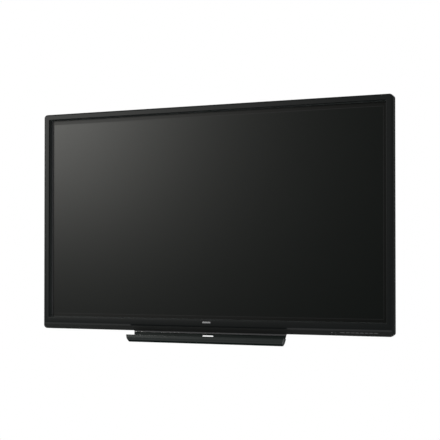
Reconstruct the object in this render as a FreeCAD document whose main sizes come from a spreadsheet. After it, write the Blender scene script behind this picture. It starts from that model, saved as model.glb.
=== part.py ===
import FreeCAD, Part
import math
import os
import re
import Sketcher

# Wall-held interactive display of the 70 inch class, in millimetres.
# X runs along the width, Y from the screen to the rear, Z up. The origin is
# the centre of the four mounting bosses, on their rear faces.

# Driving sizes
SIZES = {
    "screen_wide": 1538.9,
    "screen_high": 865.6,
    "screen_drop": 2.5,
    "border_side": 15.55,
    "border_top": 19.7,
    "side_rail": 29,
    "top_rail": 25.6,
    "bottom_rail": 53.5,
    "body_depth": 100,
    "bezel_depth": 46,
    "bezel_wall": 3.5,
    "bezel_corner": 16,
    "bezel_round": 9,
    "opening_corner": 3,
    "opening_round": 2.5,
    "chin_high": 27,
    "chin_back": 10,
    "fit_gap": 0.3,
    "over": 1,
    "bite": 0.5,
    "key_gap": 0.3,
    "recess_depth": 20,
    "window_wall": 5,
    "window_draft": 10,
    "strip_wide": 9,
    "board_thick": 1.6,
    "emitter_wide": 4,
    "emitter_tall": 5,
    "emitters_across": 20,
    "emitters_up": 12,
    "emitter_in": 30,
    "glass_thick": 4,
    "glass_lap": 12,
    "gasket_thick": 1,
    "gasket_wide": 6,
    "frame_sheet": 1,
    "frame_reveal": 1.5,
    "small_round": 2,
    "panel_thick": 1.8,
    "panel_lap": 7,
    "film_thick": 1.2,
    "film_lap": 2,
    "guide_thick": 4,
    "led_bar": 2.5,
    "reflector_thick": 0.5,
    "chassis_sheet": 1.5,
    "rib_wide": 10,
    "rib_tall": 4,
    "rib_end_in": 80,
    "rib_first": 580,
    "rib_pitch": 30,
    "mount_pitch": 400,
    "rail_wide": 60,
    "rail_deep": 40,
    "rail_foot": 14,
    "rail_sheet": 2,
    "rail_inset": 14,
    "rail_hole": 14,
    "boss_radius": 9,
    "boss_bolt": 3,
    "boss_bore": 18,
    "bezel_boss": 3.6,
    "bezel_boss_in": 18.3,
    "bracket_wide": 30,
    "bracket_lap": 22,
    "bracket_sheet": 1.5,
    "screw_radius": 1.7,
    "screw_head": 3.4,
    "screw_head_tall": 2.4,
    "spacer_radius": 3,
    "spacer_in": 8,
    "board_lift": 8,
    "main_lift": 18,
    "power_in": 21,
    "power_up": 400,
    "power_wide": 260,
    "power_high": 210,
    "driver_up": 220,
    "driver_wide": 240,
    "driver_high": 90,
    "timing_up": 120,
    "timing_in": 16,
    "timing_high": 80,
    "main_in": 11,
    "main_up": 115,
    "main_wide": 290,
    "main_high": 200,
    "touch_in": 51,
    "touch_up": 400,
    "touch_wide": 130,
    "touch_high": 70,
    "part_tall": 22,
    "coil_wide": 44,
    "can_radius": 11,
    "chip_wide": 26,
    "chip_tall": 2.5,
    "sink_wide": 64,
    "sink_base": 3,
    "sink_fin": 1.2,
    "sink_tall": 14,
    "sink_fins": 11,
    "edge_board_in": 13.4,
    "edge_board_high": 22,
    "speaker_out": 40,
    "speaker_up": 49,
    "speaker_wide": 200,
    "speaker_high": 58,
    "speaker_deep": 18,
    "cone_radius": 22,
    "cone_deep": 7,
    "cover_sheet": 2,
    "plateau_deep": 10,
    "plateau_in": 34,
    "plateau_up": 35,
    "plateau_corner": 24,
    "plateau_bevel": 8,
    "hump_spare": 15,
    "hump_in": 112,
    "hump_drop": 29,
    "hump_corner": 26,
    "hump_bevel": 12,
    "boss_proud": 1.5,
    "vent_wide": 4,
    "vent_long": 34,
    "vent_pitch": 12,
    "vent_count": 40,
    "fan_size": 92,
    "fan_thick": 25,
    "fan_x": 340,
    "fan_down": 80,
    "fan_bore": 43,
    "fan_hub": 17,
    "fan_tip_gap": 1,
    "fan_plate": 3,
    "fan_arm": 5,
    "fan_pin": 1.5,
    "fan_corner": 6,
    "fan_hole_in": 4.6,
    "rotor_in": 2,
    "pin_gap": 0.05,
    "pin_long": 12,
    "blade_count": 7,
    "blade_thick": 2,
    "blade_twist": 28,
    "grille_slots": 7,
    "speaker_slots": 13,
    "terminal_wide": 250,
    "terminal_high": 22,
    "terminal_back": 28,
    "terminal_lap": 5,
    "terminal_sheet": 1.2,
    "socket_deep": 14,
    "socket_proud": 1.5,
    "socket_shell": 0.8,
    "socket_floor": 2,
    "socket_tongue": 0.7,
    "inlet_x": -470,
    "inlet_wide": 27,
    "inlet_high": 20,
    "inlet_flange": 3,
    "inlet_deep": 22,
    "inlet_well": 15,
    "well_side": 1.5,
    "well_rim": 1.8,
    "well_cut": 4.2,
    "pin_spread": 7,
    "pin_up": 3.7,
    "pin_down": 4.2,
    "pin_foot": 2,
    "blade_pin": 2,
    "switch_x": -410,
    "switch_wide": 14,
    "switch_high": 21,
    "switch_deep": 18,
    "switch_flange": 2,
    "rocker_radius": 8,
    "rocker_wide": 9.4,
    "rocker_dip": 1.9,
    "rocker_pin": 1.2,
    "rocker_pin_long": 1.4,
    "handle_in": 80,
    "handle_z": 250,
    "handle_long": 130,
    "handle_rise": 34,
    "handle_rod": 5.5,
    "handle_bend": 14,
    "handle_foot": 13,
    "handle_foot_tall": 4,
    "key_first_in": 212,
    "key_row_in": 189,
    "key_pitch": 19.5,
    "key_wide": 11,
    "key_deep": 6,
    "key_proud": 1.2,
    "key_flange": 1.5,
    "key_rim": 1.5,
    "key_switch": 6,
    "key_board_spare": 60,
    "key_travel": 0.8,
    "key_back": 27,
    "switch_tall": 3.5,
    "key_board_deep": 18,
    "mark_drop": 14.5,
    "light_in": 257,
    "light_radius": 1.6,
    "sensor_in": 242,
    "sensor_radius": 2.8,
    "pipe_long": 12,
    "tray_half": 359.7,
    "tray_spare": 40,
    "tray_wall": 3,
    "tray_flange": 44,
    "tray_end_wall": 2.5,
    "tray_end_flare": 7.9,
    "tray_end_slant": 13.2,
    "tray_block": 260,
    "slot_wide": 52,
    "slot_high": 11,
    "slot_corner": 4,
    "slot_drop": 14.5,
    "tray_screw_pitch": 150,
    "tray_screw_back": 34,
    "nut_radius": 6,
    "nut_tall": 4,
}

# Places worked out from the driving sizes
PLACES = {
    "opening_wide": "screen_wide + 2 * border_side",
    "opening_high": "screen_high + 2 * border_top",
    "body_wide": "opening_wide + 2 * side_rail",
    "body_high": "opening_high + top_rail + bottom_rail",
    "opening_z": "(bottom_rail - top_rail) / 2",
    "screen_z": "opening_z - screen_drop",
    "bottom_z": "-body_high / 2",
    "crease_z": "bottom_z + chin_high",
    "front_y": "-body_depth",
    "bezel_rear_y": "front_y + bezel_depth",
    "glass_y": "front_y + recess_depth",
    "gasket_y": "glass_y + glass_thick",
    "frame_y": "gasket_y + gasket_thick",
    "panel_y": "frame_y + frame_sheet",
    "film_y": "panel_y + panel_thick",
    "guide_y": "film_y + film_thick",
    "reflector_y": "guide_y + guide_thick",
    "chassis_y": "reflector_y + reflector_thick",
    "deck_y": "chassis_y + chassis_sheet",
    "rail_y": "deck_y + rail_deep",
    "panel_wide": "screen_wide + 2 * panel_lap",
    "panel_high": "screen_high + 2 * panel_lap",
    "film_wide": "screen_wide + 2 * film_lap",
    "film_high": "screen_high + 2 * film_lap",
    "boss_x": "opening_wide / 2 + bezel_boss_in",
    "boss_top": "opening_z + opening_high / 2 + bezel_boss_in",
    "boss_bottom": "opening_z - opening_high / 2 - bezel_boss_in",
    "cover_y": "bezel_rear_y - cover_sheet",
    "plateau_y": "bezel_rear_y + plateau_deep",
    "plateau_wide": "body_wide - 2 * plateau_in",
    "plateau_high": "body_high - 2 * plateau_up",
    "plateau_bottom": "opening_z - plateau_high / 2",
    "hump_high": "plateau_high - 2 * hump_in",
    "hump_z": "opening_z - hump_drop",
    "hump_bottom": "hump_z - hump_high / 2",
    "fan_z": "hump_z + hump_high / 2 - fan_down",
    "rail_out": "mount_pitch / 2 + rail_wide / 2 + rail_foot",
    "power_x": "-rail_out - power_in - power_wide / 2",
    "power_z": "hump_bottom + power_up",
    "driver_z": "hump_bottom + driver_up",
    "timing_wide": "mount_pitch - rail_wide - 2 * rail_foot - 2 * timing_in",
    "timing_z": "hump_bottom + timing_up",
    "main_x": "rail_out + main_in + main_wide / 2",
    "main_z": "hump_bottom + main_up",
    "touch_x": "rail_out + touch_in + touch_wide / 2",
    "touch_z": "hump_bottom + touch_up",
    "speaker_z": "plateau_bottom + speaker_up",
    "speaker_x": "edge_board_x + speaker_out",
    "hump_wide": "2 * (main_x + main_wide / 2 + hump_spare)",
    "handle_x": "plateau_wide / 2 - handle_in",
    "inner_bracket_x": "opening_wide * 0.16",
    "outer_bracket_x": "opening_wide * 0.4",
    "edge_board_x": "(inner_bracket_x + outer_bracket_x) / 2",
    "edge_board_wide": "outer_bracket_x - inner_bracket_x - bracket_wide - 2 * edge_board_in",
    "rib_long": "panel_high - 2 * rib_end_in",
    "light_x": "body_wide / 2 - light_in",
    "sensor_x": "body_wide / 2 - sensor_in",
    "key_first_x": "body_wide / 2 - key_first_in",
    "key_row_x": "body_wide / 2 - key_row_in",
    "flange_wide": "body_wide - 2 * bezel_wall - 2 * fit_gap",
    "flange_high": "body_high - 2 * bezel_wall - 2 * fit_gap",
    "mark_z": "crease_z - mark_drop",
    "mark_y": "chin_back * mark_drop / chin_high",
    "key_floor": "bottom_z + bezel_wall",
    "key_top": "key_floor + key_gap + key_flange",
    "key_switch_z": "key_top + key_travel + key_gap",
    "key_board_z": "key_switch_z + switch_tall",
}

doc = FreeCAD.newDocument("InteractiveDisplay")
sheet = doc.addObject("Spreadsheet::Sheet", "Sizes")
for row, (alias, size) in enumerate(SIZES.items(), start=1):
    sheet.set(f"A{row}", alias)
    sheet.set(f"B{row}", str(size))
    sheet.setAlias(f"B{row}", alias)
doc.recompute()

WORD = re.compile(r"[a-z]\w*")
SIDES = {"X": ("YZ_Plane", 1), "Y": ("XZ_Plane", -1), "Z": ("XY_Plane", 1)}
subparts = []


def bind(text):
    """A size in words, written out as an expression on the sheet's cells."""

    def cell(match):
        word = match.group()
        if word in PLACES:
            return "(" + bind(PLACES[word]) + ")"
        return "Sizes." + word if word in SIZES else word

    return WORD.sub(cell, str(text))


def value(text):
    """The number that a size in words stands for."""
    found = sheet.evalExpression(bind(text))
    return float(getattr(found, "Value", found))


def new_body(label, x="0", y="0", z="0"):
    """A sub-part with its own local origin at x, y, z."""
    body = doc.addObject("PartDesign::Body", label)
    body.Label = label
    for axis, place in zip("xyz", (x, y, z)):
        body.setExpression(f"Placement.Base.{axis}", bind(place))
    subparts.append(body)
    return body


def rectangle(x, z, wide, high, radius="0"):
    """Corners of a rectangle round x, z, each with the same radius."""
    signs = ((-1, -1), (1, -1), (1, 1), (-1, 1))
    corners = [(f"{x} + {i} * ({wide}) / 2", f"{z} + {k} * ({high}) / 2") for i, k in signs]
    return corners if radius == "0" else [(*corner, radius) for corner in corners]


def disc(x, z, radius):
    """A circle round x, z."""
    return (x, z, radius)


def add_disc(sketch, rules, shape):
    """A circle round a point, written as sizes in words."""
    x, z, radius = shape
    circle = Part.Circle(FreeCAD.Vector(value(x), value(z), 0), FreeCAD.Vector(0, 0, 1), value(radius))
    edge = sketch.addGeometry(circle, False)
    rules.append((("DistanceX", -1, 1, edge, 3, value(x)), x))
    rules.append((("DistanceY", -1, 1, edge, 3, value(z)), z))
    rules.append((("Radius", edge, value(radius)), radius))


def add_outline(sketch, rules, corners):
    """A closed outline of straight edges, with a round where a corner has a radius."""
    spots = [FreeCAD.Vector(value(corner[0]), value(corner[1]), 0) for corner in corners]
    radii = [value(corner[2]) if len(corner) > 2 else 0 for corner in corners]
    count = len(corners)
    ahead = [(spots[(i + 1) % count] - spots[i]).normalize() for i in range(count)]
    leave, reach = [], []
    for i in range(count):
        cut = radii[i] * math.tan(ahead[i - 1].getAngle(ahead[i]) / 2)
        reach.append(spots[i] - ahead[i - 1] * cut)
        leave.append(spots[i] + ahead[i] * cut)
    lines = [Part.LineSegment(leave[i], reach[(i + 1) % count]) for i in range(count)]
    edges = sketch.addGeometry(lines, False)
    for i, corner in enumerate(corners):
        before, after = edges[i - 1], edges[i]
        if radii[i] > 0:
            left = ahead[i - 1].cross(ahead[i]).z > 0
            inward = FreeCAD.Vector(-ahead[i].y, ahead[i].x, 0) * (1 if left else -1)
            centre = leave[i] + inward * radii[i]
            first, last = (reach[i], leave[i]) if left else (leave[i], reach[i])
            angles = [math.atan2(p.y - centre.y, p.x - centre.x) for p in (first, last)]
            circle = Part.Circle(centre, FreeCAD.Vector(0, 0, 1), radii[i])
            arc = sketch.addGeometry(Part.ArcOfCircle(circle, *angles), False)
            point = sketch.addGeometry(Part.Point(spots[i]), True)
            start, end = (1, 2) if left else (2, 1)
            rules.append((("Tangent", before, 2, arc, start), None))
            rules.append((("Tangent", arc, end, after, 1), None))
            rules.append((("PointOnObject", point, 1, before), None))
            rules.append((("PointOnObject", point, 1, after), None))
            rules.append((("Radius", arc, radii[i]), corner[2]))
        else:
            point = after
            rules.append((("Coincident", before, 2, after, 1), None))
        rules.append((("DistanceX", -1, 1, point, 1, spots[i].x), corner[0]))
        rules.append((("DistanceY", -1, 1, point, 1, spots[i].y), corner[1]))


def draw(body, side, start, shapes):
    """A sketch square to X, Y or Z, at start along it."""
    role, sign = SIDES[side]
    sketch = body.newObject("Sketcher::SketchObject", body.Name + "_sketch")
    plane = next(item for item in body.Origin.OriginFeatures if item.Role == role)
    sketch.AttachmentSupport = [(plane, "")]
    sketch.MapMode = "FlatFace"
    sketch.setExpression("AttachmentOffset.Base.z", bind(f"{sign} * ({start})"))
    rules = []
    for shape in shapes:
        if isinstance(shape, tuple):
            add_disc(sketch, rules, shape)
        else:
            add_outline(sketch, rules, shape)
    sketch.addConstraint([Sketcher.Constraint(*rule) for rule, size in rules])
    for number, (rule, size) in enumerate(rules):
        if size is not None:
            sketch.setExpression(f"Constraints[{number}]", bind(size))
    return sketch


def in_turn(shapes):
    """Groups of shapes for one sketch each: an outline with rounds gets its own."""
    plain = [shape for shape in shapes if isinstance(shape, tuple) or len(shape[0]) == 2]
    rounded = [[shape] for shape in shapes if not isinstance(shape, tuple) and len(shape[0]) > 2]
    return ([plain] if plain else []) + rounded


def pad(body, side, start, length, *shapes):
    """Adds the shapes, carried along X, Y or Z from start."""
    for group in in_turn(shapes):
        feature = body.newObject("PartDesign::Pad", body.Name + "_pad")
        feature.Profile = draw(body, side, start, group)
        feature.setExpression("Length", bind(length))
        feature.Reversed = side == "Y"
    return feature


def pocket(body, side, start, length, *shapes):
    """Cuts the shapes away, carried along X, Y or Z from start."""
    for group in in_turn(shapes):
        feature = body.newObject("PartDesign::Pocket", body.Name + "_pocket")
        feature.Profile = draw(body, side, start, group)
        feature.setExpression("Length", bind(length))
        feature.Reversed = side != "Y"
    return feature


def repeat(body, feature, along, length, count):
    """Copies of a feature in a row along its sketch's H_Axis or V_Axis."""
    row = body.newObject("PartDesign::LinearPattern", body.Name + "_row")
    row.Originals = [feature]
    row.Direction = (feature.Profile[0], [along])
    row.setExpression("Length", bind(length))
    row.setExpression("Occurrences", bind(count))
    body.Tip = row
    return row


def round_edges(body, kind, size, wanted):
    """A Fillet or Chamfer on the edges of the body's last feature that wanted picks."""
    doc.recompute()
    base = body.Tip
    names = [f"Edge{i}" for i, edge in enumerate(base.Shape.Edges, start=1) if wanted(edge)]
    feature = body.newObject("PartDesign::" + kind, body.Name + "_" + kind.lower())
    feature.Base = (base, names)
    feature.setExpression("Radius" if kind == "Fillet" else "Size", bind(size))
    return feature


def at_y(edge, y):
    """Whether an edge lies wholly at a local y."""
    box = edge.BoundBox
    return abs(box.YMin - y) < 0.01 and abs(box.YMax - y) < 0.01


# Front bezel: one moulded frame, open at the rear, with a rounded front rim
# and a lower rail whose front is creased: flat above, leaning back below.
front_bezel = new_body("front_bezel", y="front_y")
pad(front_bezel, "Y", "0", "bezel_depth", rectangle("0", "0", "body_wide", "body_high", "bezel_corner"))
round_edges(front_bezel, "Fillet", "bezel_round", lambda edge: at_y(edge, 0))
chin = [
    ("0", "crease_z"),
    ("chin_back", "bottom_z"),
    ("chin_back", "bottom_z - bezel_wall"),
    ("-bezel_wall", "bottom_z - bezel_wall"),
    ("-bezel_wall", "crease_z"),
]
pocket(front_bezel, "X", "-body_wide / 2 - over", "body_wide + 2 * over", chin)
hollow_low = "crease_z + bezel_wall"
hollow_high = "body_high / 2 - bezel_wall"
hollow_wide = "body_wide - 2 * bezel_wall"
upper_hollow = rectangle("0", f"(({hollow_low}) + ({hollow_high})) / 2", hollow_wide,
                         f"({hollow_high}) - ({hollow_low})")
pocket(front_bezel, "Y", "bezel_wall", "bezel_depth", upper_hollow)
lower_hollow = rectangle("0", f"(({hollow_low}) + key_floor) / 2 + over", hollow_wide,
                         f"({hollow_low}) - key_floor + 2 * over")
pocket(front_bezel, "Y", "chin_back + bezel_wall", "bezel_depth", lower_hollow)
pocket(front_bezel, "Y", "-over", "bezel_wall + 2 * over",
       rectangle("0", "opening_z", "opening_wide", "opening_high", "opening_corner"))
round_edges(front_bezel, "Fillet", "opening_round",
            lambda edge: at_y(edge, 0) and abs(edge.BoundBox.Center.x) < value("opening_wide") / 2 + 0.1
            and edge.BoundBox.ZMin > value("opening_z - opening_high / 2") - 0.1
            and edge.BoundBox.ZMax < value("opening_z + opening_high / 2") + 0.1)

# Posts inside the bezel: short ones for the chassis brackets, tall ones for the rear cover
side_spots = [("boss_x", f"opening_z + {step} * opening_high / 3") for step in (-1, 0, 1)]
side_spots += [("-boss_x", z) for x, z in side_spots]
edge_spots = [(x, edge) for edge in ("boss_top", "boss_bottom")
              for x in ("inner_bracket_x", "-inner_bracket_x", "outer_bracket_x", "-outer_bracket_x")]
cover_spots = [(x, f"opening_z + {step} * opening_high / 3") for step in (-1.35, -0.5, 0.5, 1.35)
               for x in ("boss_x", "-boss_x")]
cover_spots += [(f"{step} * opening_wide / 5", edge) for step in (-2.3, -1.4, -0.3, 0.3, 1.4, 2.3)
                for edge in ("boss_top", "boss_bottom")]
bracket_spots = side_spots + edge_spots
pad(front_bezel, "Y", "bezel_wall - over", "deck_y - front_y - bezel_wall + over",
    *[disc(x, z, "bezel_boss") for x, z in bracket_spots])
pad(front_bezel, "Y", "bezel_wall - over", "cover_y - front_y - bezel_wall + over",
    *[disc(x, z, "bezel_boss") for x, z in cover_spots])

# Key holes and key board posts in the bezel's underside, light and sensor holes in the chin
key_places = ["key_first_x"] + [f"key_row_x + {step} * key_pitch" for step in range(7)]
pocket(front_bezel, "Z", "bottom_z - over", "bezel_wall + 2 * over",
       *[rectangle(x, "key_back", "key_wide + 2 * key_gap", "key_deep + 2 * key_gap")
         for x in key_places])
key_board_mid = "(key_first_x + key_row_x + 6 * key_pitch) / 2"
key_board_wide = "key_row_x + 6 * key_pitch - key_first_x + key_board_spare"
post_places = [f"{key_board_mid} + {step} * (({key_board_wide}) / 2 - bezel_boss)" for step in (-1, 1)]
pad(front_bezel, "Z", "key_floor - over", "key_board_z - key_floor + over",
    *[disc(x, "key_back", "bezel_boss") for x in post_places])
pocket(front_bezel, "Y", "-over", "chin_back + bezel_wall + 2 * over",
       disc("light_x", "mark_z", "light_radius + fit_gap / 2"),
       disc("sensor_x", "mark_z", "sensor_radius + fit_gap / 2"))

# Touch window frame: the infrared-clear wall of the recess, which narrows towards the glass
window = new_body("touch_window_frame", y="front_y + bezel_wall", z="opening_z")
pad(window, "Y", "0", "recess_depth - bezel_wall",
    rectangle("0", "0", "opening_wide + 2 * window_wall", "opening_high + 2 * window_wall"))
window_cut = pocket(window, "Y", "0", "recess_depth - bezel_wall",
                    rectangle("0", "0", "opening_wide", "opening_high", "opening_corner"))
window_cut.setExpression("TaperAngle", bind("-window_draft"))

# Touch sensor boards: a strip on each edge of the glass, with emitters facing the window
strips = new_body("touch_sensor_boards", y="glass_y - board_thick", z="opening_z")
strip_x = "(opening_wide + strip_wide) / 2 + window_wall + fit_gap"
strip_z = "(opening_high + strip_wide) / 2 + window_wall + fit_gap"
strip_shapes = [rectangle(f"{i} * ({strip_x})", "0", "strip_wide", "opening_high") for i in (-1, 1)]
strip_shapes += [rectangle("0", f"{k} * ({strip_z})", "opening_wide", "strip_wide") for k in (-1, 1)]
pad(strips, "Y", "0", "board_thick", *strip_shapes)
emitters = new_body("touch_emitters", y="glass_y - board_thick - emitter_tall", z="opening_z")
row_x = "opening_wide / 2 + window_wall + 2 * fit_gap + emitter_wide / 2"
row_z = "opening_high / 2 + window_wall + 2 * fit_gap + emitter_wide / 2"
across = pad(emitters, "Y", "0", "emitter_tall",
             *[rectangle("emitter_in - opening_wide / 2", f"{k} * ({row_z})", "emitter_wide",
                 "emitter_wide")
               for k in (-1, 1)])
repeat(emitters, across, "H_Axis", "opening_wide - 2 * emitter_in", "emitters_across")
upward = pad(emitters, "Y", "0", "emitter_tall",
             *[rectangle(f"{i} * ({row_x})", "emitter_in - opening_high / 2", "emitter_wide",
                 "emitter_wide")
               for i in (-1, 1)])
repeat(emitters, upward, "V_Axis", "opening_high - 2 * emitter_in", "emitters_up")

# Protective glass over the panel, and the foam gasket that holds it off the panel's frame
glass = new_body("protective_glass", y="glass_y", z="opening_z")
pad(glass, "Y", "0", "glass_thick",
    rectangle("0", "0", "opening_wide + 2 * glass_lap", "opening_high + 2 * glass_lap", "opening_corner"))
gasket = new_body("glass_gasket", y="gasket_y", z="screen_z")
pad(gasket, "Y", "0", "gasket_thick", rectangle("0", "0", "panel_wide", "panel_high"))
pocket(gasket, "Y", "0", "gasket_thick",
       rectangle("0", "0", "panel_wide - 2 * gasket_wide", "panel_high - 2 * gasket_wide"))

# Liquid crystal module, front to rear
panel_frame = new_body("panel_front_frame", y="frame_y", z="screen_z")
frame_out = "2 * (fit_gap + frame_sheet)"
pad(panel_frame, "Y", "0", "deck_y - frame_y",
    rectangle("0", "0", f"panel_wide + {frame_out}", f"panel_high + {frame_out}"))
pocket(panel_frame, "Y", "frame_sheet", "deck_y - frame_y",
       rectangle("0", "0", "panel_wide + 2 * fit_gap", "panel_high + 2 * fit_gap"))
pocket(panel_frame, "Y", "-over", "frame_sheet + 2 * over",
       rectangle("0", "0", "screen_wide + 2 * frame_reveal", "screen_high + 2 * frame_reveal"))
panel = new_body("lcd_panel", y="panel_y", z="screen_z")
pad(panel, "Y", "0", "panel_thick", rectangle("0", "0", "panel_wide", "panel_high"))
middle = new_body("panel_middle_frame", y="film_y", z="screen_z")
pad(middle, "Y", "0", "chassis_y - film_y", rectangle("0", "0", "panel_wide", "panel_high"))
pocket(middle, "Y", "-over", "chassis_y - film_y + 2 * over",
       rectangle("0", "0", "film_wide + 2 * fit_gap", "film_high + 2 * fit_gap"))
films = new_body("optical_films", y="film_y", z="screen_z")
pad(films, "Y", "0", "film_thick", rectangle("0", "0", "film_wide", "film_high"))
guide = new_body("light_guide", y="guide_y", z="screen_z")
pad(guide, "Y", "0", "guide_thick",
    rectangle("0", "0", "film_wide", "film_high - 2 * (led_bar + fit_gap)"))
bars = new_body("backlight_led_bars", y="guide_y", z="screen_z")
pad(bars, "Y", "0", "guide_thick",
    *[rectangle("0", f"{k} * (film_high - led_bar) / 2", "film_wide", "led_bar") for k in (-1, 1)])
reflector = new_body("reflector_sheet", y="reflector_y", z="screen_z")
pad(reflector, "Y", "0", "reflector_thick", rectangle("0", "0", "film_wide", "film_high"))

# Back chassis: pressed steel plate with upright stiffeners on its rear
chassis = new_body("back_chassis", y="chassis_y", z="screen_z")
pad(chassis, "Y", "0", "chassis_sheet", rectangle("0", "0", "panel_wide", "panel_high"))
rib_shapes = [rectangle(f"{i} * (rib_first + {step} * rib_pitch)", "-screen_z", "rib_wide", "rib_long",
                        "rib_wide * 0.45")
              for i in (-1, 1) for step in range(3)]
pad(chassis, "Y", "chassis_sheet - bite", "rib_tall + bite", *rib_shapes)

# Mounting rails: two hat-section steel rails down the chassis, which carry the wall bosses
for side, sign in (("left", -1), ("right", 1)):
    rail = new_body("mounting_rail_" + side, x=f"{sign} * mount_pitch / 2", y="deck_y", z="hump_z")
    hat = [
        ("-rail_wide / 2 - rail_foot", "0"),
        ("-rail_wide / 2 + rail_sheet", "0"),
        ("-rail_wide / 2 + rail_sheet", "rail_deep - rail_sheet"),
        ("rail_wide / 2 - rail_sheet", "rail_deep - rail_sheet"),
        ("rail_wide / 2 - rail_sheet", "0"),
        ("rail_wide / 2 + rail_foot", "0"),
        ("rail_wide / 2 + rail_foot", "rail_sheet"),
        ("rail_wide / 2", "rail_sheet"),
        ("rail_wide / 2", "rail_deep", "rail_sheet"),
        ("-rail_wide / 2", "rail_deep", "rail_sheet"),
        ("-rail_wide / 2", "rail_sheet"),
        ("-rail_wide / 2 - rail_foot", "rail_sheet"),
    ]
    pad(rail, "Z", "rail_inset - hump_high / 2", "hump_high - 2 * rail_inset", hat)
    pocket(rail, "Y", "rail_deep - rail_sheet - over", "rail_sheet + 2 * over",
           *[disc("0", f"{step} * mount_pitch / 4 - hump_z", "rail_hole") for step in (-1, 0, 1)])
bosses = new_body("mounting_bosses", y="rail_y")
boss_spots = [(f"{i} * mount_pitch / 2", f"{k} * mount_pitch / 2") for i in (-1, 1) for k in (-1, 1)]
pad(bosses, "Y", "0", "-rail_y", *[disc(x, z, "boss_radius") for x, z in boss_spots])
pocket(bosses, "Y", "-rail_y - boss_bore", "boss_bore + over",
       *[disc(x, z, "boss_bolt") for x, z in boss_spots])

# Brackets and screws that join the chassis to the bezel's short posts
brackets = new_body("bezel_brackets", y="deck_y")
panel_top = "screen_z + panel_high / 2"
panel_bottom = "screen_z - panel_high / 2"
reach_x = "boss_x + bezel_boss - panel_wide / 2 + bracket_lap"
bracket_shapes = []
for x, z in side_spots:
    sign = -1 if x.startswith("-") else 1
    middle_x = f"{sign} * (panel_wide / 2 - bracket_lap + ({reach_x}) / 2)"
    bracket_shapes.append(rectangle(middle_x, z, reach_x, "bracket_wide", "small_round"))
for x, z in edge_spots:
    if z == "boss_top":
        low, high = f"({panel_top}) - bracket_lap", "boss_top + screw_head - fit_gap"
    else:
        low, high = "boss_bottom - bezel_boss", f"({panel_bottom}) + bracket_lap"
    bracket_shapes.append(
        rectangle(x, f"(({low}) + ({high})) / 2", "bracket_wide", f"({high}) - ({low})", "small_round"))
pad(brackets, "Y", "0", "bracket_sheet", *bracket_shapes)
bracket_screws = new_body("bracket_screws", y="deck_y + bracket_sheet")
pad(bracket_screws, "Y", "0", "screw_head_tall", *[disc(x, z, "screw_head") for x, z in bracket_spots])
round_edges(bracket_screws, "Chamfer", "screw_head_tall / 3",
            lambda edge: at_y(edge, value("screw_head_tall")))

# Circuit boards on spacers behind the chassis
BOARDS = {
    "power_supply_board": ("power_x", "power_z", "power_wide", "power_high", "board_lift"),
    "led_driver_board": ("power_x", "driver_z", "driver_wide", "driver_high", "board_lift"),
    "timing_board": ("0", "timing_z", "timing_wide", "timing_high", "board_lift"),
    "main_board": ("main_x", "main_z", "main_wide", "main_high", "main_lift"),
    "touch_controller_board": ("touch_x", "touch_z", "touch_wide", "touch_high", "board_lift"),
}
spacers = new_body("board_spacers", y="deck_y")
boards = {}
for name, (x, z, wide, high, lift) in BOARDS.items():
    board = new_body(name, x=x, y=f"deck_y + {lift}", z=z)
    pad(board, "Y", "0", "board_thick", rectangle("0", "0", wide, high, "small_round"))
    corners = [(f"{i} * ({wide} / 2 - spacer_in)", f"{k} * ({high} / 2 - spacer_in)")
               for i in (-1, 1) for k in (-1, 1)]
    pad(spacers, "Y", "0", lift,
        *[disc(f"{x} + {cx}", f"{z} + {cz}", "spacer_radius") for cx, cz in corners])
    boards[name] = board
top = "board_thick"
pad(boards["power_supply_board"], "Y", top, "part_tall",
    *[rectangle(f"{step} * coil_wide * 1.5", "-power_high / 5", "coil_wide", "coil_wide", "small_round")
      for step in (-1, 0, 1)],
    *[disc(f"{step} * can_radius * 2.6", "power_high / 4", "can_radius") for step in (-3, -2, -1, 0)])
pad(boards["led_driver_board"], "Y", top, "part_tall / 2",
    *[rectangle(f"{step} * coil_wide * 1.2", "0", "coil_wide / 2", "coil_wide / 2", "small_round")
      for step in (-1, 0, 1)])
pad(boards["timing_board"], "Y", top, "chip_tall",
    *[rectangle(f"{step} * chip_wide * 2", "0", "chip_wide", "chip_wide") for step in (-1, 0, 1)])
pad(boards["touch_controller_board"], "Y", top, "chip_tall",
    *[rectangle(f"{step} * chip_wide * 0.9", "0", "chip_wide", "chip_wide") for step in (-1, 1)])
pad(boards["main_board"], "Y", top, "chip_tall",
    rectangle("0", "chip_wide", "chip_wide * 1.4", "chip_wide * 1.4"),
    *[rectangle(f"{step} * chip_wide * 2.6", "chip_wide", "chip_wide / 2", "chip_wide")
      for step in (-1, 1)])
sink = new_body("main_heat_sink", x="main_x", y=f"deck_y + main_lift + {top} + chip_tall",
                z="main_z + chip_wide")
pad(sink, "Y", "0", "sink_base", rectangle("0", "0", "sink_wide", "sink_wide", "small_round"))
fin = pad(sink, "Y", "sink_base - bite", "sink_tall - sink_base + bite",
          rectangle("-sink_wide / 2 + sink_fin", "0", "sink_fin", "sink_wide - 2 * over"))
repeat(sink, fin, "H_Axis", "sink_wide - 2 * sink_fin", "sink_fins")
edge_boards = new_body("panel_edge_boards", y="deck_y",
                       z=f"({panel_top}) - edge_board_high / 2 - 2 * small_round")
pad(edge_boards, "Y", "0", "board_thick",
    *[rectangle(f"{i} * edge_board_x", "0", "edge_board_wide", "edge_board_high") for i in (-1, 1)])

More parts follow.
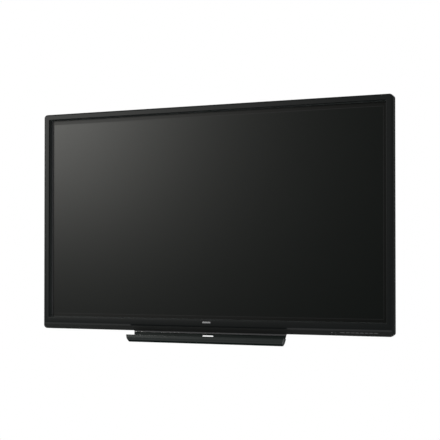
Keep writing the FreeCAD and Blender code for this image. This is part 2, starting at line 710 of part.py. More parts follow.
# Speakers: flat sealed boxes low on the chassis, firing through slots in the cover
for side, sign in (("left", -1), ("right", 1)):
    speaker = new_body("speaker_" + side, x=f"{sign} * speaker_x", y="deck_y", z="speaker_z")
    pad(speaker, "Y", "0", "speaker_deep",
        rectangle("0", "0", "speaker_wide", "speaker_high", "2 * small_round"))
    pocket(speaker, "Y", "speaker_deep - cone_deep", "cone_deep + over",
           *[disc(f"{i} * speaker_wide / 4", "0", "cone_radius") for i in (-1, 1)])
    pad(speaker, "Y", "speaker_deep - cone_deep - bite", "cone_deep * 0.6",
        *[disc(f"{i} * speaker_wide / 4", "0", "cone_radius / 3") for i in (-1, 1)])

# Rear cover: pressed shell with a shallow plateau and a deeper middle, both bevelled
cover = new_body("rear_cover_shell", y="cover_y")
subparts.remove(cover)
plateau_end = "cover_sheet + plateau_deep"
hump_end = "-cover_y - boss_proud"
pad(cover, "Y", "0", plateau_end,
    rectangle("0", "opening_z", "plateau_wide", "plateau_high", "plateau_corner"))
round_edges(cover, "Chamfer", "plateau_bevel", lambda edge: at_y(edge, value(plateau_end)))
pad(cover, "Y", "cover_sheet", f"{hump_end} - cover_sheet",
    rectangle("0", "hump_z", "hump_wide", "hump_high", "hump_corner"))
round_edges(cover, "Chamfer", "hump_bevel", lambda edge: at_y(edge, value(hump_end)))
doc.recompute()
shell_base = cover.Tip
open_face = next(f"Face{i}" for i, face in enumerate(shell_base.Shape.Faces, start=1)
                 if abs(face.BoundBox.YMax) < 0.01)
shell = cover.newObject("PartDesign::Thickness", "rear_cover_shell")
shell.Base = (shell_base, [open_face])
shell.setExpression("Value", bind("cover_sheet"))
shell.Reversed = True
rim = cover.newObject("PartDesign::Pad", "rear_cover_rim")
rim.Profile = draw(cover, "Y", "0", [
    rectangle("0", "0", "flange_wide", "flange_high", "bezel_corner - bezel_wall - fit_gap"),
    rectangle("0", "opening_z", "plateau_wide - cover_sheet", "plateau_high - cover_sheet",
              "plateau_corner - cover_sheet / 2"),
])
rim.setExpression("Length", bind("cover_sheet"))
rim.Reversed = True
pocket(cover, "Y", f"{hump_end} - cover_sheet - over", "cover_sheet + 2 * over",
       *[disc(x, z, "boss_radius + fit_gap") for x, z in boss_spots])

# Vents: a row of slots along the top and bottom of the deep part, a row for each speaker,
# and a square of slots in front of each fan
vent_rows = []


def vents(start, x, z, high, count):
    """A row of upright slots with round ends, centred on x, z."""
    slots = doc.addObject("PartDesign::Body", "vent_row")
    slots.setExpression("Placement.Base.y", bind(f"cover_y + {start} - cover_sheet - over"))
    first = f"{x} - ({count} - 1) * vent_pitch / 2"
    slot = pad(slots, "Y", "0", "cover_sheet + 2 * over",
               rectangle(first, z, "vent_wide", high, "vent_wide * 0.49"))
    repeat(slots, slot, "H_Axis", f"({count} - 1) * vent_pitch", count)
    vent_rows.append(slots)


vents(hump_end, "0", "hump_bottom + hump_bevel + vent_long", "vent_long", "vent_count")
vents(hump_end, "0", "hump_z + hump_high / 2 - hump_bevel - vent_long", "vent_long", "vent_count")
for sign in (-1, 1):
    vents(plateau_end, f"{sign} * speaker_x", "speaker_z", "vent_long", "speaker_slots")
    vents(hump_end, f"{sign} * fan_x", "fan_z + fan_size / 5", "vent_long", "grille_slots")
    vents(hump_end, f"{sign} * fan_x", "fan_z - fan_size / 5", "vent_long", "grille_slots")

# Openings in the cover's lower wall for the terminal panel, the inlet and the switch
terminal_y = "-cover_y - terminal_back"
pocket(cover, "Z", "hump_bottom - over", "cover_sheet + 2 * over",
       rectangle("main_x", terminal_y, "terminal_wide", "terminal_high", "small_round"),
       rectangle("inlet_x", terminal_y, "inlet_wide + 2 * fit_gap", "inlet_high + 2 * fit_gap",
                 "small_round"),
       rectangle("switch_x", terminal_y, "switch_wide + 2 * fit_gap", "switch_high + 2 * fit_gap",
                 "small_round / 2"))
pocket(cover, "Y", "-over", "cover_sheet + 2 * over",
       *[disc(x, z, "screw_radius + fit_gap") for x, z in cover_spots])

all_vents = doc.addObject("Part::Compound", "vent_rows")
all_vents.Links = vent_rows
rear_cover = doc.addObject("Part::Cut", "rear_cover")
rear_cover.Base = cover
rear_cover.Tool = all_vents
subparts.append(rear_cover)

# Screws that hold the cover on the bezel's tall posts
cover_screws = new_body("rear_cover_screws", y="bezel_rear_y")
pad(cover_screws, "Y", "0", "screw_head_tall", *[disc(x, z, "screw_head") for x, z in cover_spots])
round_edges(cover_screws, "Chamfer", "screw_head_tall / 3",
            lambda edge: at_y(edge, value("screw_head_tall")))
pad(cover_screws, "Y", "-cover_sheet", "cover_sheet",
    *[disc(x, z, "screw_radius") for x, z in cover_spots])

# Terminal panel: steel strip inside the lower wall, with the signal sockets through it
terminal = new_body("terminal_panel", x="main_x", y="-terminal_back", z="hump_bottom + cover_sheet")
pad(terminal, "Z", "0", "terminal_sheet",
    rectangle("0", "0", "terminal_wide + 2 * terminal_lap", "terminal_high + terminal_lap"))
# Each socket: its place along the panel, its width and its height
SLOT_SOCKETS = ((-105, 15.2, 5.6), (-78, 15.2, 5.6), (-50, 18, 6), (60, 14, 6.6), (80, 14, 6.6))
PIN_SOCKETS = ((-15, 24, 10), (25, 24, 10))
NET_SOCKETS = ((103, 16, 13.6),)
SOCKETS = SLOT_SOCKETS + PIN_SOCKETS + NET_SOCKETS


def socket_shapes(places, grow):
    """Rectangles at the sockets' places, each larger or smaller all round by grow."""
    return [rectangle(str(x), "0", f"{wide} + 2 * {grow}", f"{high} + 2 * {grow}")
            for x, wide, high in places]


pocket(terminal, "Z", "-over", "terminal_sheet + 2 * over", *socket_shapes(SOCKETS, "fit_gap"))
sockets = new_body("terminal_sockets", x="main_x", y="-terminal_back",
                   z="hump_bottom - socket_proud")
pad(sockets, "Z", "0", "socket_deep", *socket_shapes(SOCKETS, "0"))
pocket(sockets, "Z", "-over", "socket_deep - socket_floor",
       *socket_shapes(SLOT_SOCKETS + NET_SOCKETS, "-socket_shell"))
pocket(sockets, "Z", "-over", "socket_floor + over", *socket_shapes(PIN_SOCKETS, "-socket_shell"))
pad(sockets, "Z", "over", "socket_deep - socket_floor",
    *[rectangle(str(x), "0", f"{wide} * socket_tongue", "socket_shell * 2")
      for x, wide, high in SLOT_SOCKETS])

# Power inlet: moulded body with a flange below the wall, a well and three flat pins
inlet = new_body("power_inlet", x="inlet_x", y="-terminal_back", z="hump_bottom - inlet_flange")
pad(inlet, "Z", "0", "inlet_flange",
    rectangle("0", "0", "inlet_wide + 2 * inlet_flange", "inlet_high + 2 * inlet_flange", "small_round"))
pad(inlet, "Z", "inlet_flange - bite", "inlet_deep - inlet_flange + bite",
    rectangle("0", "0", "inlet_wide", "inlet_high", "small_round"))
well_x = "(inlet_wide / 2 - well_side)"
well_y = "(inlet_high / 2 - well_rim)"
well = [
    (f"-{well_x}", f"-{well_y}"),
    (well_x, f"-{well_y}"),
    (well_x, f"{well_y} - well_cut"),
    (f"{well_x} - well_cut", well_y),
    (f"well_cut - {well_x}", well_y),
    (f"-{well_x}", f"{well_y} - well_cut"),
]
pocket(inlet, "Z", "-over", "inlet_well + over", well)
pad(inlet, "Z", "pin_foot", "inlet_well - pin_foot + over",
    rectangle("0", f"{well_y} - pin_down", "blade_pin", "blade_pin * 2"),
    *[rectangle(f"{i} * pin_spread", f"pin_up - {well_y}", "blade_pin", "blade_pin * 2")
      for i in (-1, 1)])

# Power switch: housing with a round well, and a rocker that turns on two stub pins
switch = new_body("switch_housing", x="switch_x", y="-terminal_back", z="hump_bottom")
pad(switch, "Z", "-switch_flange", "switch_flange",
    rectangle("0", "0", "switch_wide + 2 * switch_flange", "switch_high + 2 * switch_flange",
              "small_round / 2"))
pad(switch, "Z", "-bite", "switch_deep + bite",
    rectangle("0", "0", "switch_wide", "switch_high", "small_round / 2"))
pocket(switch, "X", "-rocker_wide / 2 - fit_gap", "rocker_wide + 2 * fit_gap",
       disc("0", "0", "rocker_radius + fit_gap"))
pocket(switch, "X", "-rocker_wide / 2 - rocker_pin_long - fit_gap",
       "rocker_wide + 2 * rocker_pin_long + 2 * fit_gap", disc("0", "0", "rocker_pin + pin_gap"))
rocker = new_body("switch_rocker", x="switch_x", y="-terminal_back", z="hump_bottom")
pad(rocker, "X", "-rocker_wide / 2", "rocker_wide", disc("0", "0", "rocker_radius"))
lean = "rocker_radius * 0.36"
pocket(rocker, "X", "-rocker_wide / 2 - over", "rocker_wide + 2 * over", [
    ("-rocker_radius - over", f"-({lean}) - rocker_dip"),
    ("-rocker_radius - over", "-rocker_radius - over"),
    ("rocker_radius + over", "-rocker_radius - over"),
    ("rocker_radius + over", f"-({lean}) - rocker_dip"),
    ("0", f"-({lean})"),
])
pad(rocker, "X", "-rocker_wide / 2 - rocker_pin_long", "rocker_wide + 2 * rocker_pin_long",
    disc("0", "0", "rocker_pin"))

# Fans: square frames against the cover's rear wall, each with a hub plate, arms and a pin
for side, sign in (("left", -1), ("right", 1)):
    fan_y = "-boss_proud - cover_sheet - fan_thick"
    fan = new_body("fan_frame_" + side, x=f"{sign} * fan_x", y=fan_y, z="fan_z")
    pad(fan, "Y", "0", "fan_thick", rectangle("0", "0", "fan_size", "fan_size", "fan_corner"))
    pocket(fan, "Y", "-over", "fan_thick + 2 * over", disc("0", "0", "fan_bore"))
    arm_long = "2 * fan_bore + over"
    for wide, high in (("fan_arm", arm_long), (arm_long, "fan_arm")):
        pad(fan, "Y", "fan_thick - fan_plate", "fan_plate", rectangle("0", "0", wide, high))
    pad(fan, "Y", "fan_thick - fan_plate", "fan_plate", disc("0", "0", "fan_hub"))
    pad(fan, "Y", "fan_thick - fan_plate - pin_long", "pin_long + bite", disc("0", "0", "fan_pin"))
    hole = "(fan_size / 2 - fan_hole_in)"
    pocket(fan, "Y", "-over", "fan_thick + 2 * over",
           *[disc(f"{i} * {hole}", f"{k} * {hole}", "screw_radius") for i in (-1, 1) for k in (-1, 1)])
    rotor = new_body("fan_rotor_" + side, x=f"{sign} * fan_x", y=f"{fan_y} + rotor_in", z="fan_z")
    rotor_long = "fan_thick - fan_plate - rotor_in - fit_gap"
    pad(rotor, "Y", "0", rotor_long, disc("0", "0", "fan_hub"))
    sections = []
    for start, turn in (("over", "0"), (f"({rotor_long}) - over", "blade_twist")):
        outline = rectangle("(fan_hub + fan_bore - fan_tip_gap) / 2 - over", "0",
                            "fan_bore - fan_tip_gap - fan_hub + 2 * over", "blade_thick")
        section = draw(rotor, "Y", start, [outline])
        section.setExpression("AttachmentOffset.Rotation.Angle", bind(turn))
        sections.append(section)
    vane = rotor.newObject("PartDesign::AdditiveLoft", "vane_" + side)
    vane.Profile = sections[0]
    vane.Sections = [sections[1]]
    ring = rotor.newObject("PartDesign::PolarPattern", "vanes_" + side)
    ring.Originals = [vane]
    ring.Axis = (sections[0], ["N_Axis"])
    ring.Angle = 360
    ring.setExpression("Occurrences", bind("blade_count"))
    rotor.Tip = ring
    pocket(rotor, "Y", "-over", f"{rotor_long} + 2 * over", disc("0", "0", "fan_pin + pin_gap"))

# Carry handles: bent rod on round feet, two on each side of the plateau
handles = new_body("carry_handles", y="plateau_y")
handle_spots = [(f"{i} * handle_x", f"{k} * handle_z") for i in (-1, 1) for k in (-1, 1)]
for x, z in handle_spots:
    spine = [
        ("handle_foot_tall / 2", f"{z} - handle_long / 2"),
        ("handle_rise - handle_rod", f"{z} - handle_long / 2"),
        ("handle_rise - handle_rod", f"{z} + handle_long / 2"),
        ("handle_foot_tall / 2", f"{z} + handle_long / 2"),
    ]
    bent = [spine[0], (*spine[1], "handle_bend"), (*spine[2], "handle_bend"), spine[3]]
    path = draw(handles, "X", x, [bent])
    closing = next(i for i, edge in enumerate(path.Geometry)
                   if isinstance(edge, Part.LineSegment) and edge.StartPoint.x < value("handle_foot_tall")
                   and edge.EndPoint.x < value("handle_foot_tall"))
    path.delGeometry(closing)
    ring = draw(handles, "Y", "handle_foot_tall / 2", [disc(x, f"{z} - handle_long / 2", "handle_rod")])
    rod = handles.newObject("PartDesign::AdditivePipe", "handle_rod")
    rod.Profile = ring
    rod.Spine = path
    pad(handles, "Y", "0", "handle_foot_tall",
        *[disc(x, f"{z} + {k} * handle_long / 2", "handle_foot") for k in (-1, 1)])

# Keys: eight push keys through the bezel's underside, each with a flange inside
for number, x in enumerate(key_places, start=1):
    key = new_body(f"key_{number}", x=x, y="front_y + key_back", z="bottom_z")
    pad(key, "Z", "-key_proud", "key_proud + bezel_wall + key_gap + key_flange",
        rectangle("0", "0", "key_wide", "key_deep", "small_round / 2"))
    pad(key, "Z", "bezel_wall + key_gap", "key_flange",
        rectangle("0", "0", "key_wide + 2 * key_rim", "key_deep + 2 * key_rim"))

# Key board above the keys, with a push switch over each
key_board = new_body("key_board", y="front_y + key_back", z="key_board_z")
pad(key_board, "Z", "0", "board_thick",
    rectangle(key_board_mid, "0", key_board_wide, "key_board_deep", "small_round / 2"))
pad(key_board, "Z", "-switch_tall", "switch_tall + bite",
    *[rectangle(x, "0", "key_switch", "key_switch") for x in key_places])

# Status light pipe and remote sensor window in the leaning part of the lower rail
pipe = new_body("status_light_pipe", x="light_x", y="front_y + mark_y", z="mark_z")
pad(pipe, "Y", "0", "pipe_long", disc("0", "0", "light_radius"))
sensor = new_body("remote_sensor_window", x="sensor_x", y="front_y + mark_y", z="mark_z")
pad(sensor, "Y", "0", "pipe_long", disc("0", "0", "sensor_radius"))

# Pen tray: one moulded channel under the bottom centre, whose section is given by each
# corner's place along Y and Z from the bezel's lower front edge, and the corner's round.
# Its flange is screwed to the bezel, its rear wall leans forward, and its lip is rounded.
# The ends lean in downwards and flare out forwards, and an end piece closes each.
TRAY_OUT = [
    ("tray_flange", "0"),
    ("20", "0", "1.2"),
    ("20", "-7", "1.5"),
    ("17.5", "-10.5", "2"),
    ("9", "-34", "9"),
    ("-12", "-44", "12"),
    ("-39", "-36", "10"),
    ("-40.8", "-15", "1.2"),
    ("-44.8", "-15", "1.6"),
    ("-47", "-32", "14"),
    ("-33", "-48", "14"),
    ("-8", "-48", "24"),
    ("13", "-40", "14"),
    ("23", "-6", "4"),
    ("23", "-tray_wall", "0"),
    ("tray_flange", "-tray_wall"),
]


def tilt_end(body, sketch_feature, lift):
    """Tilts an end sketch so that the tray's end leans in downwards and flares forwards."""
    flare = math.tan(math.radians(value("tray_end_flare")))
    slant = math.tan(math.radians(value("tray_end_slant")))
    normal = FreeCAD.Vector(flare, -slant, 1)
    turn = FreeCAD.Rotation(FreeCAD.Vector(0, 0, 1), normal)
    base = FreeCAD.Vector(0, 0, value("tray_half") + lift)
    sketch_feature.AttachmentOffset = FreeCAD.Placement(base, turn)


def trim_end(body, lift, outward, mirrored):
    """Cuts away what lies beyond (or before) the leaning end plane."""
    cut = body.newObject("PartDesign::Pocket", body.Name + "_end")
    block = draw(body, "X", "0", [rectangle("0", "0", "tray_block", "tray_block")])
    block.setExpression("AttachmentOffset.Base.z", None)
    tilt_end(body, block, lift)
    cut.Profile = block
    cut.Length = value("tray_half") * 4
    cut.Reversed = outward
    if mirrored:
        twin = body.newObject("PartDesign::Mirrored", body.Name + "_twin")
        twin.Originals = [cut]
        plane = next(item for item in body.Origin.OriginFeatures if item.Role == "YZ_Plane")
        twin.MirrorPlane = (plane, [""])
        body.Tip = twin
    return cut


tray = new_body("tray_body", y="front_y", z="bottom_z")
pad(tray, "X", "-tray_half - tray_spare", "2 * tray_half + 2 * tray_spare", TRAY_OUT)
trim_end(tray, 0, True, True)
pocket(tray, "Y", "0", "tray_flange",
       rectangle("0", "-slot_drop - slot_high / 2", "slot_wide", "slot_high", "slot_corner"))
pocket(tray, "Z", "-tray_wall - over", "tray_wall + 2 * over",
       *[disc(f"{step} * tray_screw_pitch", "tray_screw_back", "screw_radius + fit_gap")
         for step in (-2, -1, 0, 1, 2)])
tray_screws = new_body("tray_screws", y="front_y", z="bottom_z - tray_wall")
tray_screw_spots = [disc(f"{step} * tray_screw_pitch", "tray_screw_back", "screw_head")
                    for step in (-2, -1, 0, 1, 2)]
pad(tray_screws, "Z", "-screw_head_tall", "screw_head_tall", *tray_screw_spots)
pad(tray_screws, "Z", "-bite", "tray_wall + bite",
    *[(x, y, "screw_radius") for x, y, radius in tray_screw_spots])

tray_end = new_body("tray_end_right", y="front_y", z="bottom_z")
pad(tray_end, "X", "tray_half - tray_spare", "2 * tray_spare", [
    ("13", "-20.5"),
    ("19", "-20.5"),
    ("13", "-40", "14"),
    ("-8", "-48", "24"),
    ("-33", "-48", "14"),
    ("-47", "-32", "14"),
    ("-44.8", "-15", "1.6"),
    ("-40.8", "-15"),
])
trim_end(tray_end, value("tray_end_wall"), True, False)
trim_end(tray_end, 0, False, False)
tray_end_left = doc.addObject("Part::Mirroring", "tray_end_left")
tray_end_left.Source = tray_end
tray_end_left.Normal = FreeCAD.Vector(1, 0, 0)
subparts.append(tray_end_left)

# Nuts inside the cover that hold the handles' feet
nuts = new_body("handle_nuts", y="plateau_y - cover_sheet - nut_tall")
pad(nuts, "Y", "0", "nut_tall",
    *[disc(x, f"{z} + {k} * handle_long / 2", "nut_radius") for x, z in handle_spots for k in (-1, 1)])
doc.recompute()
failed = [item.Label for item in doc.Objects
          if {"Invalid", "Error"} & set(item.State) or not item.isValid()]
failed += [item.Label for item in subparts if item.Shape.isNull() or not item.Shape.isValid()]
if failed:
    raise RuntimeError("Not built soundly: " + ", ".join(failed))
os.makedirs("parts", exist_ok=True)
for item in subparts:
    item.Shape.exportStep(f"parts/{item.Label}.step")
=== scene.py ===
import math
import bpy
import numpy as np
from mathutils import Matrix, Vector


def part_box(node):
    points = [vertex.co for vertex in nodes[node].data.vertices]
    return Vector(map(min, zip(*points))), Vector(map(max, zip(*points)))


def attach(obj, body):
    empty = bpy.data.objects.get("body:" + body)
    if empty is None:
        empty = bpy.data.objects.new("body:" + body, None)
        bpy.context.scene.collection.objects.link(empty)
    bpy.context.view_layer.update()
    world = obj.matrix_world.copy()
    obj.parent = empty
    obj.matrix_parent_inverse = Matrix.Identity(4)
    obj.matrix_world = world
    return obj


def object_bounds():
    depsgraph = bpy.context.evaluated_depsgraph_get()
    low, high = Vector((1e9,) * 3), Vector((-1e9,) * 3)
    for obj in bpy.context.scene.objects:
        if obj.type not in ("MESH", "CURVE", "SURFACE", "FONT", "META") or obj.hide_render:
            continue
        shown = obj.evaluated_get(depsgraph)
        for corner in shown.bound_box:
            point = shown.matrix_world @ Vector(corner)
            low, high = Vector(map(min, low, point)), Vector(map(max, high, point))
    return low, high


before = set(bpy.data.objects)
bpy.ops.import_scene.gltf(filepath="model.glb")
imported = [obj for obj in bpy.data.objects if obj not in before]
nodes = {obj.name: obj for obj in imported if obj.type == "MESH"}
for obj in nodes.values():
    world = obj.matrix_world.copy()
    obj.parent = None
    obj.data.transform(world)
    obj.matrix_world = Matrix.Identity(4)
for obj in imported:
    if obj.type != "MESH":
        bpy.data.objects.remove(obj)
cad_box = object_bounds()

# Camera: a long lens standing to the right of the display and a little below its
# centre, turned 22 degrees to the left and tipped up by less than a degree.
YAW = math.radians(21.78)
TIP = math.radians(0.77)
STAND = (1.688, -4.166, -0.2026)
FRAME_WIDE = 440
FOCAL_PIXELS = 1019
RAISED_PIXELS = 31.6
SENSOR_WIDE = 36.0
FARTHEST = 100.0
ahead = Vector((-math.sin(YAW) * math.cos(TIP), math.cos(YAW) * math.cos(TIP), math.sin(TIP)))
camera_data = bpy.data.cameras.new("view")
camera = bpy.data.objects.new("view", camera_data)
bpy.context.scene.collection.objects.link(camera)
bpy.context.scene.camera = camera
camera_data.sensor_width = SENSOR_WIDE
camera_data.lens = SENSOR_WIDE * FOCAL_PIXELS / FRAME_WIDE
camera_data.shift_y = RAISED_PIXELS / FRAME_WIDE
camera_data.clip_end = FARTHEST
camera.location = STAND
camera.rotation_euler = ahead.to_track_quat("-Z", "Y").to_euler()

# Studio: a white surround and a pale floor well below the display, which hangs on its
# wall mount. A soft lamp stands in front on the left, with a bright panel beside it that
# only shows in glossy surfaces, and another lamp lights the rear from above.
bpy.context.scene.view_settings.view_transform = "Standard"
WHITE = (1.0, 1.0, 1.0)
WARM_WHITE = (1.0, 0.987, 0.941)
FLOOR_GREY = (0.8, 0.8, 0.8)
MATT_LEVEL = 0.45
FLOOR_DROP = 1.1
FLOOR_REACH = 40.0


def seen_white(tree):
    """One for a camera, glossy or transmission ray, else nought."""
    path = tree.nodes.new("ShaderNodeLightPath")
    total = path.outputs["Is Camera Ray"]
    for ray in ("Is Glossy Ray", "Is Transmission Ray"):
        larger = tree.nodes.new("ShaderNodeMath")
        larger.operation = "MAXIMUM"
        tree.links.new(total, larger.inputs[0])
        tree.links.new(path.outputs[ray], larger.inputs[1])
        total = larger.outputs[0]
    return total


world = bpy.data.worlds.new("studio")
bpy.context.scene.world = world
world.use_nodes = True
surround = world.node_tree.nodes["Background"]
surround.inputs["Color"].default_value = (*WHITE, 1.0)
level = world.node_tree.nodes.new("ShaderNodeMapRange")
level.inputs["To Min"].default_value = MATT_LEVEL
world.node_tree.links.new(seen_white(world.node_tree), level.inputs["Value"])
world.node_tree.links.new(level.outputs["Result"], surround.inputs["Strength"])

floor_mesh = bpy.data.meshes.new("floor")
floor_low = float(cad_box[0][2]) - FLOOR_DROP
floor_mesh.from_pydata([(x * FLOOR_REACH, y * FLOOR_REACH, floor_low)
                        for x, y in ((-1, -1), (1, -1), (1, 1), (-1, 1))], [], [(0, 1, 2, 3)])
floor = bpy.data.objects.new("floor", floor_mesh)
bpy.context.scene.collection.objects.link(floor)
floor_paint = bpy.data.materials.new("floor_paint")
floor_paint.use_nodes = True
floor_tree = floor_paint.node_tree
floor_shader = floor_tree.nodes["Principled BSDF"]
floor_shader.inputs["Base Color"].default_value = (*FLOOR_GREY, 1.0)
glow = floor_tree.nodes.new("ShaderNodeEmission")
blend = floor_tree.nodes.new("ShaderNodeMixShader")
floor_tree.links.new(seen_white(floor_tree), blend.inputs["Fac"])
floor_tree.links.new(floor_shader.outputs["BSDF"], blend.inputs[1])
floor_tree.links.new(glow.outputs["Emission"], blend.inputs[2])
floor_tree.links.new(blend.outputs["Shader"], floor_tree.nodes["Material Output"].inputs["Surface"])
floor_mesh.materials.append(floor_paint)


def softbox(name, place, aim, wide, high, watts, colour=WHITE, on_matt=True):
    """A rectangular lamp at a place, facing a point, which may show in gloss alone."""
    lamp = bpy.data.lights.new(name, "AREA")
    lamp.shape = "RECTANGLE"
    lamp.size = wide
    lamp.size_y = high
    lamp.energy = watts
    lamp.color = colour
    holder = bpy.data.objects.new(name, lamp)
    bpy.context.scene.collection.objects.link(holder)
    holder.location = place
    holder.rotation_euler = (Vector(aim) - Vector(place)).to_track_quat("-Z", "Y").to_euler()
    holder.visible_diffuse = on_matt


softbox("front_left", place=(-3.9, -3.6, 2.6), aim=(-0.5, 0.0, 0.2), wide=2.4, high=2.0, watts=130)
softbox("sheen_left", place=(-3.4, -3.9, 1.55), aim=(-0.7, 0.0, 0.3), wide=1.5, high=1.9,
        watts=980, colour=WARM_WHITE, on_matt=False)
softbox("rear_top", place=(1.5, 3.2, 2.6), aim=(0.0, 0.0, 0.0), wide=2.0, high=1.6, watts=70)

# Front bezel: one large injection moulding in black with a fine spark-eroded grain and
# matt side walls. The side walls and the chin below the crease are painted paler, as
# painted light for the light they catch. A glossy strip runs under the crease of its lower
# rail, dull above the tray where pens are laid down. Hands and dust leave the rest a
# little uneven.
RAIL_BLACK = (0.0042, 0.0055, 0.0056)
# Painted light: the chin below the strip and the side walls are made paler for the light they
# catch.
CHIN_PAINTED_LIGHT = (0.0155, 0.0168, 0.0162)
SIDE_PAINTED_LIGHT = (0.0145, 0.016, 0.0157)
RUBBED_BLACK = (0.02, 0.021, 0.022)
DUST_GREY = (0.45, 0.44, 0.42)
STRIP_TOP = -0.4646
STRIP_LOW = -0.4705
STRIP_SOFT = 0.0008
STRIP_END = 0.804
STRIP_FADE = 0.006
STRIP_GLOSS = 0.5
STRIP_SMOOTH = -0.36
TRAY_REACH = 0.37
TRAY_FADE = 0.01
SIDE_START = 0.809
SIDE_SOFT = 0.004
RIM_START = 0.8125
RIM_MATT = 0.35
BEYOND = 1.0


def arithmetic(tree, operation, *terms):
    """A maths node on sockets or numbers."""
    node = tree.nodes.new("ShaderNodeMath")
    node.operation = operation
    for socket, term in zip(node.inputs, terms):
        if isinstance(term, (int, float)):
            socket.default_value = term
        else:
            tree.links.new(term, socket)
    return node.outputs[0]


def noise(tree, scale, detail=2.0, rough=0.5):
    """A noise value on object coordinates, at a number or a socket's scale."""
    texture = tree.nodes.new("ShaderNodeTexNoise")
    texture.inputs["Detail"].default_value = detail
    texture.inputs["Roughness"].default_value = rough
    if isinstance(scale, (int, float)):
        texture.inputs["Scale"].default_value = scale
    else:
        tree.links.new(scale, texture.inputs["Scale"])
    place = tree.nodes.new("ShaderNodeTexCoord").outputs["Object"]
    tree.links.new(place, texture.inputs["Vector"])
    return texture.outputs["Fac"]


def tint(tree, amount, first, second):
    """A colour between two colours or colour sockets, by an amount."""
    mix = tree.nodes.new("ShaderNodeMix")
    mix.data_type = "RGBA"
    tree.links.new(amount, mix.inputs["Factor"])
    for label, colour in (("A", first), ("B", second)):
        if isinstance(colour, tuple):
            mix.inputs[label].default_value = (*colour, 1.0)
        else:
            tree.links.new(colour, mix.inputs[label])
    return mix.outputs["Result"]


def new_group(name, gives, **takes):
    """A shader node group with number or colour inputs, and named outputs."""
    group = bpy.data.node_groups.new(name, "ShaderNodeTree")
    for label, start in takes.items():
        kind = "NodeSocketColor" if isinstance(start, tuple) else "NodeSocketFloat"
        socket = group.interface.new_socket(label, in_out="INPUT", socket_type=kind)
        socket.default_value = start
    for label, kind in gives:
        group.interface.new_socket(label, in_out="OUTPUT", socket_type=kind)
    inside = group.nodes.new("NodeGroupInput").outputs
    return group, inside, group.nodes.new("NodeGroupOutput").inputs


def placed(tree, group, **values):
    """A group in a material's tree, with its values set."""
    node = tree.nodes.new("ShaderNodeGroup")
    node.node_tree = group
    for label, value in values.items():
        node.inputs[label].default_value = value
    return node


# Grain: fine noise with small round pits among it, a little coarser than the noise.
PITS_COARSER = 0.7
grain, taken, given = new_group("surface_grain", [("Height", "NodeSocketFloat")],
                                Scale=900.0, Pits=0.6)
fine = noise(grain, taken["Scale"], detail=3.0)
pits = grain.nodes.new("ShaderNodeTexVoronoi")
grain.links.new(grain.nodes.new("ShaderNodeTexCoord").outputs["Object"], pits.inputs["Vector"])
grain.links.new(arithmetic(grain, "MULTIPLY", taken["Scale"], PITS_COARSER), pits.inputs["Scale"])
grain.links.new(arithmetic(grain, "MULTIPLY_ADD", pits.outputs["Distance"], taken["Pits"], fine),
                given["Height"])

# Handling: broad patches and small smears of other gloss, and dust on what faces up.
PATCH_SCALE = 3.5
SMEAR_SCALE = 60.0
SMEAR_SHARE = 0.4
PATCH_MEAN = 0.7
handled, taken, given = new_group(
    "handled_surface", [("Color", "NodeSocketColor"), ("Roughness", "NodeSocketFloat")],
    Color=(0.05, 0.05, 0.05, 1.0), Roughness=0.4, Spread=0.08, Dust=0.02)
broad = noise(handled, PATCH_SCALE, detail=4.0)
smear = noise(handled, SMEAR_SCALE, detail=5.0, rough=0.65)
patches = arithmetic(handled, "MULTIPLY_ADD", smear, SMEAR_SHARE, broad)
shift = arithmetic(handled, "SUBTRACT", patches, PATCH_MEAN)
handled.links.new(arithmetic(handled, "MULTIPLY_ADD", shift, taken["Spread"], taken["Roughness"]),
                  given["Roughness"])
facing = handled.nodes.new("ShaderNodeSeparateXYZ")
handled.links.new(handled.nodes.new("ShaderNodeNewGeometry").outputs["Normal"],
                  facing.inputs["Vector"])
upward = arithmetic(handled, "MAXIMUM", facing.outputs["Z"], 0.0)
settled = arithmetic(handled, "MULTIPLY", upward, smear)
handled.links.new(tint(handled, arithmetic(handled, "MULTIPLY", settled, taken["Dust"]),
                       taken["Color"], DUST_GREY), given["Color"])

# Edges: a rounded normal, and a mask in broken patches where the rounding turns it.
BEVEL_SAMPLES = 4
RUB_GAIN = 4.0
RUB_SCALE = 140.0
edges, taken, given = new_group(
    "rubbed_edges", [("Normal", "NodeSocketVector"), ("Edge", "NodeSocketFloat")],
    Radius=0.0008, Wear=1.0)
bevel = edges.nodes.new("ShaderNodeBevel")
bevel.samples = BEVEL_SAMPLES
edges.links.new(taken["Radius"], bevel.inputs["Radius"])
turned = edges.nodes.new("ShaderNodeVectorMath")
turned.operation = "DOT_PRODUCT"
edges.links.new(bevel.outputs["Normal"], turned.inputs[0])
edges.links.new(edges.nodes.new("ShaderNodeNewGeometry").outputs["Normal"], turned.inputs[1])
rub = arithmetic(edges, "SUBTRACT", 1.0, turned.outputs["Value"])
rub = arithmetic(edges, "MULTIPLY", rub, RUB_GAIN)
rub = arithmetic(edges, "MULTIPLY", rub, noise(edges, RUB_SCALE, detail=4.0, rough=0.7))
rub = arithmetic(edges, "MINIMUM", arithmetic(edges, "MULTIPLY", rub, taken["Wear"]), 1.0)
edges.links.new(bevel.outputs["Normal"], given["Normal"])
edges.links.new(rub, given["Edge"])


